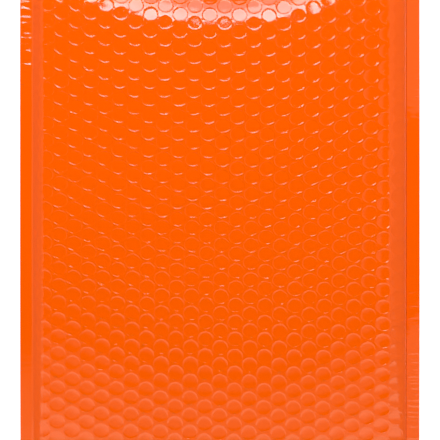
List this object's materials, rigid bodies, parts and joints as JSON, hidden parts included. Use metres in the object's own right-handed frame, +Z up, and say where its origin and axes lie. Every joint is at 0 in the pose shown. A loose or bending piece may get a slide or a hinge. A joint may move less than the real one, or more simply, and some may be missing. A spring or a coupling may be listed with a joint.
{
  "type": "padded envelope",
  "caption": "Flat padded mailing envelope of glossy orange film lined with bubble film, open at one end, with a self-adhesive flap folded out.",
  "frame": {"origin": "middle of the envelope's overall width and length, on the surface that it lies on", "axes": "+Y along the envelope from its bottom fold to its open mouth and flap, +Z up through its thickness, +X across it to the right as seen from above"},
  "size_m": [0.2414, 0.393, 0.016],
  "materials": {
    "film": "glossy, dished over each bubble of the lining",
    "adhesive": "clear, tacky",
    "liner": "satin, silicone coated"
  },
  "bodies": {
    "root": {"envelope_body": "film", "adhesive_strip": "adhesive", "release_liner": "liner"}
  },
  "joints": []
}
